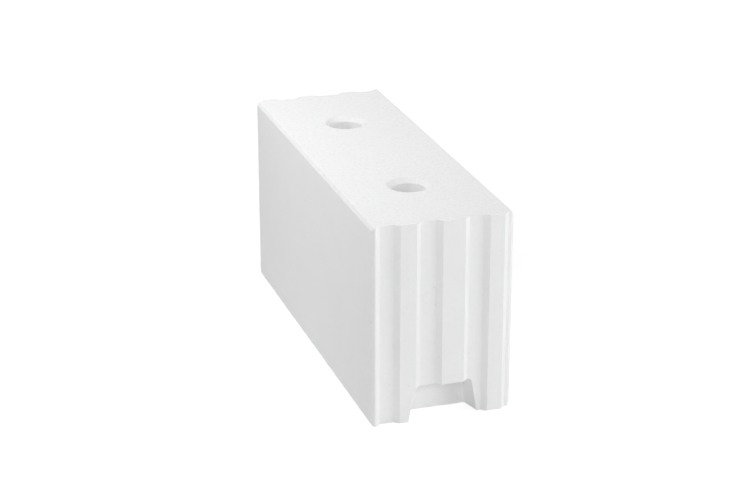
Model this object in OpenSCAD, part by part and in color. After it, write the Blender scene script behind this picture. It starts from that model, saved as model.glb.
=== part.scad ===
// Calcium silicate masonry block with interlocking end faces,
// two handling holes through its bed faces and a finger grip at the foot of each end.
// Width runs along X, length along Y and height along Z, in millimetres.
// The block stands on its lower bed face, centred on the Z axis.

/* [Block] */
// Width across the wall, between the two side faces
block_w = 175; // [150:1:300]
// Laying length, from the front tongue tips to the root of the back tongues
laying_l = 498; // [373:1:998]
// Height between the bed faces
block_h = 248; // [123:1:498]
// 45 degree chamfer on the long arrises and on the upright corners
arris = 3.5; // [1:0.5:8]

/* [Tongues and grooves] */
// How far a tongue stands out, which is also how deep a groove is
tongue_h = 5.4; // [3:0.1:10]
// Width that a sloping flank takes up across the end face
flank_run = 5.8; // [3:0.1:8]
// Narrow flat beside the left corner, level with the tongue tips
left_edge_w = 2.2; // [0.5:0.1:10]
// Floor of the groove nearest the left side
left_groove_w = 17.2; // [10:0.2:24]
// Tip of the tongue to the left of the middle groove
left_tongue_w = 20.2; // [10:0.2:26]
// Floor of the middle groove
middle_groove_w = 19.8; // [10:0.2:26]
// Floor of the groove nearest the right side
right_groove_w = 18.2; // [10:0.2:24]
// Tip of the tongue nearest the right side
right_tongue_w = 18; // [10:0.2:24]
// Narrow flat beside the right corner, level with the groove floors
right_edge_w = 4.2; // [0.5:0.1:10]

/* [Handling holes] */
// Bore of each handling hole
hole_d = 41.4; // [30:0.2:60]
// 45 degree chamfer round the upper mouth of each hole
mouth_chamfer = 5.8; // [1:0.1:10]
// Distance of each hole's axis from the nearer end of the block, tongues included
hole_end_dist = 127.2; // [80:0.1:150]

/* [Finger grips] */
// Width of a grip at the foot of the end face
grip_w = 89; // [70:1:120]
// Height of a grip's ceiling above the lower bed
grip_h = 42.5; // [25:0.5:60]
// Depth of a grip at the lower bed, from the tongue tips
grip_depth = 30.5; // [20:0.5:45]
// Distance of a grip's middle from the block's middle
grip_shift = 2.5; // [-5:0.5:5]
// Angle at which the side walls close in with height
grip_flare = 10.5; // [0:0.5:15]
// Angle at which the side walls close in with depth
grip_splay = 15.5; // [0:0.5:25]
// Angle at which the back wall leans out with height
grip_draft = 10; // [0:0.5:15]
// Radius between the side walls and the ceiling
grip_r = 5; // [1:0.5:10]

/* [Hidden] */

// Distance that a cutting shape reaches past the face it starts from
past = 1;
// Thickness of the thin plates that the grip's outer shape is stretched between
plate = 0.01;
// Number of straight pieces in the rounding of a grip's corner
arc_steps = 8;

half_w = block_w / 2;
overall_l = laying_l + tongue_h;
front_y = -overall_l / 2;
back_y = front_y + laying_l;
hole_y = [front_y + hole_end_dist, -front_y - hole_end_dist];

// The grooves and tongues between the edge flats, from the left side to the right side.
// The middle tongue is the widest and takes up what the others leave of the width.
outer_flats = [left_groove_w, left_tongue_w, middle_groove_w, right_groove_w, right_tongue_w];
function sum(list, count) = count == 0 ? 0 : list[count - 1] + sum(list, count - 1);
flank_count = len(outer_flats) + 2;
edges_w = 2 * arris + left_edge_w + right_edge_w;
middle_tongue_w = block_w - edges_w - flank_count * flank_run - sum(outer_flats, len(outer_flats));
flats = [left_edge_w, left_groove_w, left_tongue_w, middle_groove_w, middle_tongue_w, right_groove_w,
    right_tongue_w];

// The two ends of flank number i, on an end face whose tongue tips lie at depth 0
function flank(i) =
    let (x = -half_w + arris + sum(flats, i + 1) + i * flank_run, start = i % 2 == 0 ? 0 : tongue_h)
    [[x, start], [x + flank_run, tongue_h - start]];

// The line across an end face, from its left corner to its right corner
end_line = concat(
    [[-half_w + arris, 0]],
    [for (i = [0 : flank_count - 1]) for (p = flank(i)) p],
    [[half_w - arris, tongue_h]]
);

// Plan of the block: the back line repeats the front line one laying length on,
// so each tongue at the back fits a groove of the next block
module plan() {
    last = len(end_line) - 1;
    polygon(concat(
        [[-half_w, front_y + arris]],
        [for (p = end_line) [p[0], front_y + p[1]]],
        [[half_w, front_y + tongue_h + arris], [half_w, back_y + tongue_h - arris]],
        [for (i = [last : -1 : 0]) [end_line[i][0], back_y + end_line[i][1]]],
        [[-half_w, back_y - arris]]
    ));
}

// Section across the block, with its four long arrises chamfered
module section() {
    polygon([
        [-half_w + arris, 0], [half_w - arris, 0],
        [half_w, arris], [half_w, block_h - arris],
        [half_w - arris, block_h], [-half_w + arris, block_h],
        [-half_w, block_h - arris], [-half_w, arris]
    ]);
}

// One handling hole from bed to bed, with a chamfered upper mouth
module handling_hole() {
    hole_r = hole_d / 2;
    cone_h = mouth_chamfer + past;
    translate([0, 0, -past]) cylinder(r = hole_r, h = block_h + 2 * past, $fn = 64);
    translate([0, 0, block_h - mouth_chamfer]) cylinder(r1 = hole_r, r2 = hole_r + cone_h, h = cone_h, $fn = 64);
}

// Half width of a grip where it meets the lower bed, at depth y
function grip_half(y) = grip_w / 2 - y * tan(grip_splay);

// Outline of a grip on an upright or leaning plane: its sides close in by slope for
// each unit of height, and its corners under the ceiling are rounded
module grip_outline(foot_half, slope, height) {
    lean = atan(slope);
    arc_x = foot_half - (height - grip_r) * slope - grip_r / cos(lean);
    arc = [
        for (i = [0 : arc_steps])
        let (a = lean + (90 - lean) * i / arc_steps)
        [arc_x + grip_r * cos(a), height - grip_r + grip_r * sin(a)]
    ];
    low_half = foot_half + past * slope;
    polygon(concat(
        [[-low_half, -past], [low_half, -past]],
        arc,
        [for (i = [arc_steps : -1 : 0]) [-arc[i][0], arc[i][1]]]
    ));
}

// One finger grip, cut inwards from the tongue tips at depth 0
module grip() {
    back_slope = tan(grip_flare) - tan(grip_splay) * tan(grip_draft);
    hull() {
        translate([0, -past, 0]) rotate([90, 0, 0]) linear_extrude(plate)
            grip_outline(grip_half(-past), tan(grip_flare), grip_h);
        translate([0, grip_depth, 0]) rotate([90 + grip_draft, 0, 0]) linear_extrude(plate)
            grip_outline(grip_half(grip_depth), back_slope * cos(grip_draft), grip_h / cos(grip_draft));
    }
}

module block() {
    color([0.93, 0.93, 0.92])
    difference() {
        intersection() {
            linear_extrude(block_h) plan();
            translate([0, overall_l / 2, 0]) rotate([90, 0, 0]) linear_extrude(overall_l) section();
        }
        for (y = hole_y) translate([0, y, 0]) handling_hole();
        translate([grip_shift, front_y, 0]) grip();
        translate([grip_shift, front_y + overall_l, 0]) mirror([0, 1, 0]) grip();
    }
}

block();
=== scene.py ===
import math

import bmesh
import bpy
import numpy as np
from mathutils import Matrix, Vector


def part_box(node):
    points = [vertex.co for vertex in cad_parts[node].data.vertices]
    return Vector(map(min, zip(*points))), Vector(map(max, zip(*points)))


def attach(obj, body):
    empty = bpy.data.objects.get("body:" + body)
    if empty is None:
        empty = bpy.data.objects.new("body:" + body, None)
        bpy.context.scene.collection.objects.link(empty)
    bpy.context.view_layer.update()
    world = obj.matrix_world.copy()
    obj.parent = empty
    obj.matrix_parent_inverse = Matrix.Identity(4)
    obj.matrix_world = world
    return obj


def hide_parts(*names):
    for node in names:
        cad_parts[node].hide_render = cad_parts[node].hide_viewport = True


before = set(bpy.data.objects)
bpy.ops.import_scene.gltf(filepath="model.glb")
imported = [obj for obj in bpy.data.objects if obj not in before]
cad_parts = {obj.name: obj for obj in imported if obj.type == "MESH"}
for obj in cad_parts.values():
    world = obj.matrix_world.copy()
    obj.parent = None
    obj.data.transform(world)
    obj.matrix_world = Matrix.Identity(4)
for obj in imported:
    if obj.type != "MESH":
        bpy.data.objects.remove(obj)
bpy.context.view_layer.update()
mm = 0.001
print("frame loaded")

# Pressed sand-lime body. Lengths in mm, and the flats run from the left side to the right.
body = {
    "arris": 3.5,           # chamfer on the long arrises and the upright corners
    "tongueHeight": 5.4,    # how far a tongue stands out of its groove
    "flankRun": 5.8,        # width that a sloping flank takes up
    "leftFlats": [2.2, 17.2, 20.2, 19.8],   # edge, groove, tongue, middle groove
    "rightFlats": [18.2, 18.0, 4.2],        # groove, tongue, edge
    "edgeRadius": 0.5,      # every edge is this blunt
    "edgeSteps": 3,
    "shortestEdge": 0.8,    # points nearer than this are joined before the edges are blunted
    "flatAngle": 0.5,       # degrees: faces that meet flatter than this are joined
    "bluntAngle": 25,       # degrees: edges sharper than this are blunted
}

# Two handling holes, straight down through the bed faces.
holes = {
    "bore": 41.4,
    "mouthChamfer": 5.8,    # at 45 degrees, round the upper mouth
    "endDistance": 127.2,   # from either end of the block, tongues included, to a hole's axis
    "sides": 96,
}

# A finger grip at the foot of each end face.
grip = {
    "width": 89.0,          # at the foot, between the tongue tips
    "height": 42.5,
    "depth": 30.5,
    "shift": 2.5,           # off the middle of the block
    "flare": 10.5,          # degrees that the sides close in with height
    "splay": 15.5,          # degrees that the sides close in with depth
    "draft": 10.0,          # degrees that the back wall leans out
    "cornerRadius": 5.0,
    "cornerSteps": 6,
}

blockLow, blockHigh = [np.array(corner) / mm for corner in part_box("block")]
halfWidth = blockHigh[0]
height = blockHigh[2]
frontY = blockLow[1]
backY = blockHigh[1] - body["tongueHeight"]
holeY = np.array([blockLow[1] + holes["endDistance"], blockHigh[1] - holes["endDistance"]])
past = 1.0                  # how far a cutting shape reaches past its face, in mm


# A grid of points made a closed shell: rows run along the path, columns go round the
# profile and meet themselves, and the first and last rows are capped. Each quad joins
# point (row, column) to its neighbours one row on and one column on.
def shellFromGrid(name, grid):
    rows, columns = grid.shape[:2]
    index = np.arange(rows * columns).reshape(rows, columns)
    following = np.roll(index, -1, axis=1)
    quads = np.stack([index[:-1], following[:-1], following[1:], index[1:]], axis=-1)
    faces = quads.reshape(-1, 4).tolist() + [index[0][::-1].tolist(), index[-1].tolist()]
    mesh = bpy.data.meshes.new(name)
    mesh.from_pydata((grid.reshape(-1, 3) * mm).tolist(), [], faces)
    tool = bmesh.new()
    tool.from_mesh(mesh)
    bmesh.ops.recalc_face_normals(tool, faces=tool.faces)
    tool.to_mesh(mesh)
    tool.free()
    piece = bpy.data.objects.new(name, mesh)
    bpy.context.scene.collection.objects.link(piece)
    return piece


# The line across an end face, (x, depth) with depth 0 at the tongue tips: flats joined by
# flanks that step between depth 0 and the groove depth in turn.
def endLine():
    edges = 2 * body["arris"] + sum(body["leftFlats"]) + sum(body["rightFlats"])
    flankCount = len(body["leftFlats"]) + len(body["rightFlats"])
    middle = 2 * halfWidth - edges - flankCount * body["flankRun"]
    flats = np.array([*body["leftFlats"], middle, *body["rightFlats"]])
    starts = -halfWidth + body["arris"] + np.cumsum(flats[:-1]) + np.arange(flankCount) * body["flankRun"]
    x = np.stack([starts, starts + body["flankRun"]], axis=1).ravel()
    groove = np.arange(flankCount) % 2 == 1
    depth = np.stack([groove, ~groove], axis=1).ravel() * body["tongueHeight"]
    corners = halfWidth - body["arris"]
    return np.column_stack([np.r_[-corners, x, corners], np.r_[0.0, depth, body["tongueHeight"]]])


# Plan of the block carried straight up: the back line is the front line moved one laying
# length on, and the four corners are cut at 45 degrees.
def planShell():
    line = endLine()
    arris, tongue = body["arris"], body["tongueHeight"]
    front = line + [0, frontY]
    back = line[::-1] + [0, backY]
    plan = np.vstack([
        [[-halfWidth, frontY + arris]], front,
        [[halfWidth, frontY + tongue + arris], [halfWidth, backY + tongue - arris]], back,
        [[-halfWidth, backY - arris]],
    ])
    levels = np.array([0.0, height])
    grid = np.empty((2, len(plan), 3))
    grid[:, :, :2] = plan
    grid[:, :, 2] = levels[:, None]
    return shellFromGrid("block_body", grid)


# Section across the block carried along its length: a rectangle with its corners cut.
def sectionShell():
    arris = body["arris"]
    w, h = halfWidth, height
    x = np.array([-w + arris, w - arris, w, w, w - arris, -w + arris, -w, -w])
    z = np.array([0, 0, arris, h - arris, h, h, h - arris, arris])
    ends = np.array([blockLow[1] - past, blockHigh[1] + past])
    grid = np.empty((2, len(x), 3))
    grid[:, :, 0] = x
    grid[:, :, 1] = ends[:, None]
    grid[:, :, 2] = z
    return shellFromGrid("section", grid)


# A handling hole as a turned shape: radius and height of the profile, turned round the
# axis, x = r cos(angle) and y = r sin(angle).
def holeShell(y):
    radius = holes["bore"] / 2
    flare = holes["mouthChamfer"] + past
    r = np.array([radius, radius, radius + flare])
    z = np.array([-past, height - holes["mouthChamfer"], height + past])
    angle = np.arange(holes["sides"]) * 2 * math.pi / holes["sides"]
    x = r[:, None] * np.cos(angle)
    across = y + r[:, None] * np.sin(angle)
    grid = np.stack([x, across, np.broadcast_to(z[:, None], x.shape)], axis=-1)
    return shellFromGrid("hole", grid)


# A grip's outline on one plane, (half width side, height): the sides close in by slope
# for each unit of height, and arcs of the corner radius join them to the ceiling.
def gripOutline(footHalf, slope, top):
    radius = grip["cornerRadius"]
    lean = math.atan(slope)
    angle = np.linspace(lean, math.pi / 2, grip["cornerSteps"] + 1)
    centre = footHalf - (top - radius) * slope - radius / math.cos(lean)
    arcX = centre + radius * np.cos(angle)
    arcZ = top - radius + radius * np.sin(angle)
    lowHalf = footHalf + past * slope
    x = np.r_[-lowHalf, lowHalf, arcX, -arcX[::-1]]
    z = np.r_[-past, -past, arcZ, arcZ[::-1]]
    return x, z


# A grip's shell runs from its outline before the tongue tips to its outline on the back
# wall, which leans out with height. inward is 1 at the front end and -1 at the back end.
def gripShell(y, inward):
    flare, splay, draft = [math.tan(math.radians(grip[key])) for key in ("flare", "splay", "draft")]
    nearHalf = grip["width"] / 2 + past * splay
    farHalf = grip["width"] / 2 - grip["depth"] * splay
    nearX, nearZ = gripOutline(nearHalf, flare, grip["height"])
    farX, farZ = gripOutline(farHalf, flare - splay * draft, grip["height"])
    farDepth = grip["depth"] - farZ * draft
    grid = np.empty((2, len(nearX), 3))
    grid[0] = np.column_stack([nearX, np.full_like(nearX, -past), nearZ])
    grid[1] = np.column_stack([farX, farDepth, farZ])
    grid[:, :, 0] += grip["shift"]
    grid[:, :, 1] = y + inward * grid[:, :, 1]
    return shellFromGrid("grip", grid)


# One boolean step, made real at once so that no cutting shape is left behind.
def combine(piece, other, operation):
    step = piece.modifiers.new(operation.lower(), "BOOLEAN")
    step.operation = operation
    step.object = other
    step.solver = "EXACT"
    graph = bpy.context.evaluated_depsgraph_get()
    result = bpy.data.meshes.new_from_object(piece.evaluated_get(graph))
    piece.modifiers.clear()
    piece.data = result
    bpy.data.objects.remove(other)


# The plan and the section crossed, less the two holes and the two grips, with blunt edges.
def makeBlock():
    piece = planShell()
    combine(piece, sectionShell(), "INTERSECT")
    for y in holeY:
        combine(piece, holeShell(y), "DIFFERENCE")
    combine(piece, gripShell(blockLow[1], 1), "DIFFERENCE")
    combine(piece, gripShell(blockHigh[1], -1), "DIFFERENCE")
    piece.data.name = piece.name
    piece.data.materials.clear()
    tool = bmesh.new()
    tool.from_mesh(piece.data)
    bmesh.ops.remove_doubles(tool, verts=tool.verts, dist=body["shortestEdge"] * mm)
    bmesh.ops.dissolve_limit(tool, angle_limit=math.radians(body["flatAngle"]),
                              verts=tool.verts, edges=tool.edges)
    tool.to_mesh(piece.data)
    tool.free()
    piece.data.polygons.foreach_set("use_smooth", np.ones(len(piece.data.polygons), bool))
    blunt = piece.modifiers.new("bluntEdges", "BEVEL")
    blunt.width = body["edgeRadius"] * mm
    blunt.segments = body["edgeSteps"]
    blunt.limit_method = "ANGLE"
    blunt.angle_limit = math.radians(body["bluntAngle"])
    blunt.use_clamp_overlap = False
    blunt.harden_normals = True
    return piece


block = makeBlock()
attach(block, "root")
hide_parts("block")
print("block made:", len(block.data.vertices), "points before its edges are blunted")

# White sand-lime: smooth where the mould's walls formed it, sandier on its bed faces and
# nearly as sandy on the walls of the holes. Sizes in metres, along x, y and z.
finish = {
    "colour": (0.898, 0.900, 0.903),
    "mottleSize": (0.045, 0.045, 0.045),
    "mottleDetail": 3,
    "mottleLevels": (0.3, 0.7),     # of its noise, where the mottling is darkest and brightest
    "mottle": 0.006,            # share of the colour that the slow mottling moves
    "grainSize": (0.0036, 0.0036, 0.0036),
    "grainDetail": 3,
    "grainLevels": (0.25, 0.75),    # of its noise, where the grain is darkest and brightest
    "grain": 0.035,             # share of the colour that the grain moves on a bed face
    "grainDepth": 0.00012,
    "dentSize": (0.0034, 0.0034, 0.0034),
    "dentDetail": 1,
    "dentLevels": (0.50, 0.25),     # of its noise, where a dent begins and is deepest
    "dentPaintedShade": 0.055,         # painted shade: how much darker the colour is painted at the deepest dent
    "dentDepth": 0.00023,
    "noiseRoughness": 0.55,     # how strong the finer layers of each noise are
    "wallShare": 0.25,          # how much of the grain and the dents the moulded walls show
    "holeShare": 0.8,           # and the walls of the holes
    "bedFacing": (0.3, 0.8),    # how far a face looks up or down where a wall ends and a bed begins
    "holeFade": 0.001,          # width over which a hole's share ends at its mouth
    "poreSpacing": 0.011,
    "poreRadius": 0.0008,
    "poreDepth": 0.0004,
    "poreHeart": 0.4,           # share of a pore's radius that is at full depth
    "poreShare": 0.3,           # share of the places that really hold a pore
    "porePaintedShade": 0.80,          # painted shade: the colour painted at the heart of a pore
    "roughness": (0.80, 0.92),
    "specular": 0.25,
}


# A step on numbers; each is a number or a socket.
def addMath(tree, operation, first, second=None):
    node = tree.nodes.new("ShaderNodeMath")
    node.operation = operation
    for socket, value in zip(node.inputs, (first, second)):
        if isinstance(value, (int, float)):
            socket.default_value = value
        elif value is not None:
            tree.links.new(value, socket)
    return node.outputs[0]


# A step on vectors; second is a plain triple.
def addVector(tree, operation, first, second=(0, 0, 0)):
    node = tree.nodes.new("ShaderNodeVectorMath")
    node.operation = operation
    tree.links.new(first, node.inputs[0])
    node.inputs[1].default_value = second
    return node.outputs["Value" if operation == "LENGTH" else "Vector"]


# first where share is 0 and second where it is 1; each is a number or a socket.
def addMix(tree, share, first, second):
    node = tree.nodes.new("ShaderNodeMix")
    tree.links.new(share, node.inputs["Factor"])
    for name, value in (("A", first), ("B", second)):
        if isinstance(value, (int, float)):
            node.inputs[name].default_value = value
        else:
            tree.links.new(value, node.inputs[name])
    return node.outputs["Result"]


# value carried from one range to the other, and held at the ends.
def addRange(tree, value, fromLow, fromHigh, toLow, toHigh, ramp="LINEAR"):
    node = tree.nodes.new("ShaderNodeMapRange")
    node.interpolation_type = ramp
    tree.links.new(value, node.inputs["Value"])
    names = ("From Min", "From Max", "To Min", "To Max")
    for name, number in zip(names, (fromLow, fromHigh, toLow, toHigh)):
        node.inputs[name].default_value = number
    return node.outputs["Result"]


# Noise with features about as large as size, its values spread round 0.5.
def addNoise(tree, place, size, detail):
    node = tree.nodes.new("ShaderNodeTexNoise")
    tree.links.new(addVector(tree, "DIVIDE", place, size), node.inputs["Vector"])
    node.inputs["Scale"].default_value = 1
    node.inputs["Detail"].default_value = detail
    node.inputs["Roughness"].default_value = finish["noiseRoughness"]
    return node.outputs["Fac"]


# Relief of a depth in metres, laid over the relief under it.
def addBump(tree, height, depth, under=None):
    node = tree.nodes.new("ShaderNodeBump")
    node.inputs["Distance"].default_value = depth
    tree.links.new(height, node.inputs["Height"])
    if under is not None:
        tree.links.new(under, node.inputs["Normal"])
    return node.outputs["Normal"]


# 1 at the heart of a pore and 0 outside it, at a share of the points of a jittered lattice.
def addPores(tree, place):
    cells = tree.nodes.new("ShaderNodeTexVoronoi")
    tree.links.new(place, cells.inputs["Vector"])
    cells.inputs["Scale"].default_value = 1 / finish["poreSpacing"]
    reach = finish["poreRadius"] / finish["poreSpacing"]
    pit = addRange(tree, cells.outputs["Distance"], reach * finish["poreHeart"], reach, 1, 0)
    parts = tree.nodes.new("ShaderNodeSeparateColor")
    tree.links.new(cells.outputs["Color"], parts.inputs["Color"])
    chosen = addMath(tree, "LESS_THAN", parts.outputs["Red"], finish["poreShare"])
    return addMath(tree, "MULTIPLY", pit, chosen)


# How coarse the surface is: bed faces and walls by the way they face, and a share of its own
# within a mouth's radius of the nearest hole's axis, |(x, |y - middle| - spacing)|.
def addCoarseness(tree, place, normal):
    facing = tree.nodes.new("ShaderNodeSeparateXYZ")
    tree.links.new(normal, facing.inputs[0])
    upright = addMath(tree, "ABSOLUTE", facing.outputs["Z"])
    outside = addRange(tree, upright, *finish["bedFacing"], finish["wallShare"], 1)
    middle = holeY.mean() * mm
    spacing = (holeY[1] - holeY[0]) / 2 * mm
    mouth = (holes["bore"] / 2 + holes["mouthChamfer"]) * mm
    apart = addVector(tree, "ABSOLUTE", addVector(tree, "SUBTRACT", place, (0, middle, 0)))
    apart = addVector(tree, "MULTIPLY", addVector(tree, "SUBTRACT", apart, (0, spacing, 0)), (1, 1, 0))
    distance = addVector(tree, "LENGTH", apart)
    inHole = addRange(tree, distance, mouth - finish["holeFade"], mouth, 1, 0)
    return addMix(tree, inHole, outside, finish["holeShare"])


# One material for the whole block: a colour with shade painted into its dents and pores, a roughness and
# three layers of relief.
def makeCalciumSilicate():
    material = bpy.data.materials.new("calciumSilicate")
    material.use_nodes = True
    tree = material.node_tree
    shader = tree.nodes["Principled BSDF"]
    shader.inputs["Specular IOR Level"].default_value = finish["specular"]
    where = tree.nodes.new("ShaderNodeTexCoord")
    place = where.outputs["Object"]

    coarse = addCoarseness(tree, place, where.outputs["Normal"])
    mottle = addNoise(tree, place, finish["mottleSize"], finish["mottleDetail"])
    grain = addNoise(tree, place, finish["grainSize"], finish["grainDetail"])
    dents = addNoise(tree, place, finish["dentSize"], finish["dentDetail"])
    dents = addRange(tree, dents, *finish["dentLevels"], 0, 1, "SMOOTHSTEP")
    dents = addMath(tree, "MULTIPLY", dents, coarse)
    pores = addPores(tree, place)

    # brightness: 1, moved by the mottling and the grain, and lower in a dent or a pore, where shade is
    # painted
    slow = addRange(tree, mottle, *finish["mottleLevels"], 1 - finish["mottle"], 1 + finish["mottle"])
    fine = addRange(tree, grain, *finish["grainLevels"], -finish["grain"], finish["grain"])
    bright = addMath(tree, "ADD", slow, addMath(tree, "MULTIPLY", fine, coarse))
    # painted shade: the colour is darkened in each dent
    bright = addMath(tree, "SUBTRACT", bright, addMath(tree, "MULTIPLY", dents, finish["dentPaintedShade"]))
    # painted shade: the colour is darkened at the heart of each pore
    bright = addMath(tree, "MULTIPLY", bright, addRange(tree, pores, 0, 1, 1, finish["porePaintedShade"]))
    tree.links.new(addVector(tree, "MULTIPLY", bright, finish["colour"]), shader.inputs["Base Color"])

    rough = addRange(tree, grain, *finish["grainLevels"], *finish["roughness"])
    tree.links.new(rough, shader.inputs["Roughness"])

    relief = addBump(tree, addMath(tree, "MULTIPLY", grain, coarse), finish["grainDepth"])
    relief = addBump(tree, addMath(tree, "MULTIPLY", dents, -1), finish["dentDepth"], relief)
    relief = addBump(tree, addMath(tree, "MULTIPLY", pores, -1), finish["poreDepth"], relief)
    tree.links.new(relief, shader.inputs["Normal"])
    return material


block.data.materials.append(makeCalciumSilicate())
print("finish made")

# A pale table, lit a little from underneath, and soft lamps round it. A lamp has its azimuth,
# from +Y towards +X, its elevation, its distance from the block, its width and height, and
# the light it gives there, where 1 shows a surface that faces it in its own colour.
studio = {
    "floorSize": 8.0,
    "floorPoints": 9,           # along each side of its grid
    "floorColour": (0.92, 0.92, 0.92),
    "tableLight": 0.092,        # what the table gives to the block
    "floorGlow": (0.40, 1.0),   # near the block and far from it, only where it is looked at,
    "glowReach": (0.45, 1.3),   # so that the floor reads as white and keeps the shadow
    "lampTarget": (0.0, 0.0, 0.12),
    "lamps": {
        "rightLow": (128, 7, 1.8, 0.8, 0.6, 0.262),
        "right": (105, 45, 1.3, 0.7, 0.7, 0.277),
        "front": (188, 30, 1.8, 0.8, 0.8, 0.309),
        "leftFront": (240, 52, 0.9, 0.5, 0.5, 0.209),
        "leftBack": (290, 45, 0.9, 0.5, 0.5, 0.369),
        "back": (0, 50, 1.0, 0.6, 0.6, 0.250),
    },
}


# 1 for a ray from the camera, off gloss or through glass, and 0 for the light on a surface.
def lookedAt(tree):
    path = tree.nodes.new("ShaderNodeLightPath")
    seen = addMath(tree, "MAXIMUM", path.outputs["Is Camera Ray"], path.outputs["Is Glossy Ray"])
    return addMath(tree, "MAXIMUM", seen, path.outputs["Is Transmission Ray"])


# The floor is a flat grid, (x, y, 0) with x and y from minus to plus half its size.
def makeFloor():
    side = np.linspace(-studio["floorSize"] / 2, studio["floorSize"] / 2, studio["floorPoints"])
    x, y = np.meshgrid(side, side)
    points = np.stack([x, y, np.zeros_like(x)], axis=-1)
    index = np.arange(x.size).reshape(x.shape)
    quads = np.stack([index[:-1, :-1], index[:-1, 1:], index[1:, 1:], index[1:, :-1]], axis=-1)
    mesh = bpy.data.meshes.new("floor")
    mesh.from_pydata(points.reshape(-1, 3).tolist(), [], quads.reshape(-1, 4).tolist())
    floor = bpy.data.objects.new("floor", mesh)
    bpy.context.scene.collection.objects.link(floor)
    material = bpy.data.materials.new("paleFloor")
    material.use_nodes = True
    tree = material.node_tree
    shader = tree.nodes["Principled BSDF"]
    shader.inputs["Base Color"].default_value = (*studio["floorColour"], 1)
    shader.inputs["Roughness"].default_value = 1.0
    shader.inputs["Specular IOR Level"].default_value = 0.0
    shader.inputs["Emission Color"].default_value = (1, 1, 1, 1)
    where = tree.nodes.new("ShaderNodeTexCoord")
    distance = addVector(tree, "LENGTH", where.outputs["Object"])
    glow = addRange(tree, distance, *studio["glowReach"], *studio["floorGlow"])
    glow = addMix(tree, lookedAt(tree), studio["tableLight"], glow)
    tree.links.new(glow, shader.inputs["Emission Strength"])
    mesh.materials.append(material)
    return floor


# The backdrop gives no light, and is plain white where it is looked at.
def makeBackdrop():
    world = bpy.data.worlds.new("backdrop")
    bpy.context.scene.world = world
    world.use_nodes = True
    tree = world.node_tree
    background = tree.nodes["Background"]
    background.inputs["Color"].default_value = (1, 1, 1, 1)
    tree.links.new(lookedAt(tree), background.inputs["Strength"])


# A lamp stands on the line from the target at its azimuth and elevation, and faces the target.
def makeLamps():
    target = Vector(studio["lampTarget"])
    for name, (azimuth, elevation, distance, across, high, light) in studio["lamps"].items():
        turn, tilt = math.radians(azimuth), math.radians(elevation)
        away = Vector((math.sin(turn) * math.cos(tilt), math.cos(turn) * math.cos(tilt), math.sin(tilt)))
        data = bpy.data.lights.new(name, "AREA")
        data.shape = "RECTANGLE"
        data.size = across
        data.size_y = high
        data.energy = light * (math.pi * distance) ** 2
        lamp = bpy.data.objects.new(name, data)
        bpy.context.scene.collection.objects.link(lamp)
        lamp.visible_camera = False
        lamp.location = target + away * distance
        lamp.rotation_euler = away.to_track_quat("Z", "Y").to_euler()


makeFloor()
makeBackdrop()
makeLamps()
bpy.context.scene.view_settings.view_transform = "Standard"
print("studio made")

# Where the camera stands, in metres, and which way it looks, in degrees.
view = {
    "eye": (-0.7456, -2.2797, 1.0710),
    "azimuth": 18.086,          # from +Y towards +X
    "elevation": 21.687,        # below the level
    "lens": 97.886,             # in mm
    "sensor": 36,               # its width, in mm
}


def makeCamera():
    data = bpy.data.cameras.new("camera")
    data.lens = view["lens"]
    data.sensor_width = view["sensor"]
    camera = bpy.data.objects.new("camera", data)
    bpy.context.scene.collection.objects.link(camera)
    camera.location = view["eye"]
    camera.rotation_euler = (math.radians(90 - view["elevation"]), 0, -math.radians(view["azimuth"]))
    bpy.context.scene.camera = camera


makeCamera()
